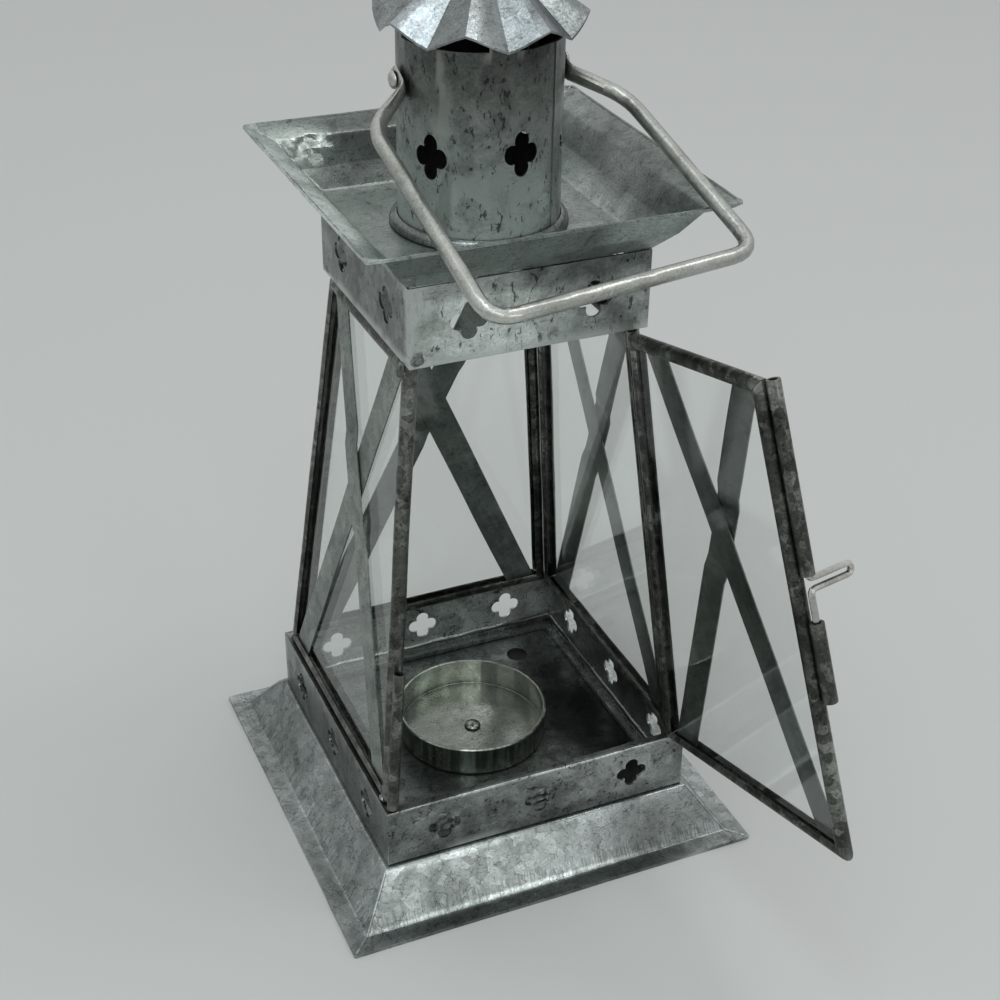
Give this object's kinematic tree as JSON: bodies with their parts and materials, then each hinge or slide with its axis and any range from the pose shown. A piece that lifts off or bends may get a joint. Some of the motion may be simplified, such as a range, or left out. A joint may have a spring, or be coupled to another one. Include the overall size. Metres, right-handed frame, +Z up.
{
  "type": "candle lantern",
  "caption": "Square tapering metal lantern with glazed sides, hinged door, pierced bands, tray roof, fluted chimney cap, candle cup and swinging bail.",
  "frame": {"origin": "on the resting plane, at the middle of the underside of the plinth's rear lip", "axes": "+Z up; the door is at the front, towards -Y; its hinge is on the right, towards +X"},
  "size_m": [0.161, 0.2443, 0.3305],
  "materials": {
    "galvanised_sheet": "aged galvanised sheet, mottled grey",
    "dark_frame": "dark patinated steel, worn bright on the edges",
    "strap_metal": "aged galvanised strip, grey green",
    "cup_metal": "pressed sheet, slightly yellowed",
    "bail_metal": "smooth worn grey",
    "bright_wire": "bright drawn wire",
    "glass": "clear"
  },
  "bodies": {
    "lantern": {"base_plinth": "galvanised_sheet", "floor_plate": "galvanised_sheet", "lower_gallery": "galvanised_sheet", "upper_gallery": "galvanised_sheet", "top_tray": "galvanised_sheet", "chimney_collar": "galvanised_sheet", "chimney": "galvanised_sheet", "chimney_cap": "galvanised_sheet", "candle_cup": "cup_metal", "cup_rivet": "cup_metal", "right_bottom_rail": "dark_frame", "right_back_stile": "dark_frame", "right_top_rail": "dark_frame", "right_front_stile": "dark_frame", "right_glass": "glass", "right_strap_under": "strap_metal", "right_strap_over": "strap_metal", "back_bottom_rail": "dark_frame", "back_left_stile": "dark_frame", "back_top_rail": "dark_frame", "back_right_stile": "dark_frame", "back_glass": "glass", "back_strap_under": "strap_metal", "back_strap_over": "strap_metal", "left_bottom_rail": "dark_frame", "left_front_stile": "dark_frame", "left_top_rail": "dark_frame", "left_back_stile": "dark_frame", "left_glass": "glass", "left_strap_under": "strap_metal", "left_strap_over": "strap_metal", "hinge_knuckle_bottom": "dark_frame", "hinge_knuckle_middle": "dark_frame", "hinge_knuckle_top": "dark_frame", "hinge_pin": "dark_frame", "keeper_tube": "dark_frame", "bail_rivet_left": "bail_metal", "bail_rivet_right": "bail_metal"},
    "door": {"door_bottom_rail": "dark_frame", "door_hinge_stile": "dark_frame", "door_top_rail": "dark_frame", "door_latch_stile": "dark_frame", "door_glass": "glass", "door_strap_under": "strap_metal", "door_strap_over": "strap_metal", "door_knuckle_lower": "dark_frame", "door_knuckle_upper": "dark_frame", "latch_tube": "dark_frame", "latch_sleeve": "dark_frame"},
    "latch": {"latch_bolt": "bright_wire"},
    "bail": {"bail": "bail_metal"}
  },
  "joints": [
    {"name": "door_hinge", "type": "hinge", "parent": "lantern", "child": "door", "pos_m": [0.0546, -0.1346, 0.0433], "axis": [-0.1023, 0.1023, 0.9895], "range_deg": [-95.5, 71.5]},
    {"name": "latch_slide", "type": "slide", "parent": "door", "child": "latch", "axis": [-0.1196, 0.3015, 0.9459], "range_m": [-0.0093, 0]},
    {"name": "bail_swing", "type": "hinge", "parent": "lantern", "child": "bail", "pos_m": [-0.0008, -0.077, 0.288], "axis": [-1, 0, 0], "range_deg": [0, 228]}
  ]
}
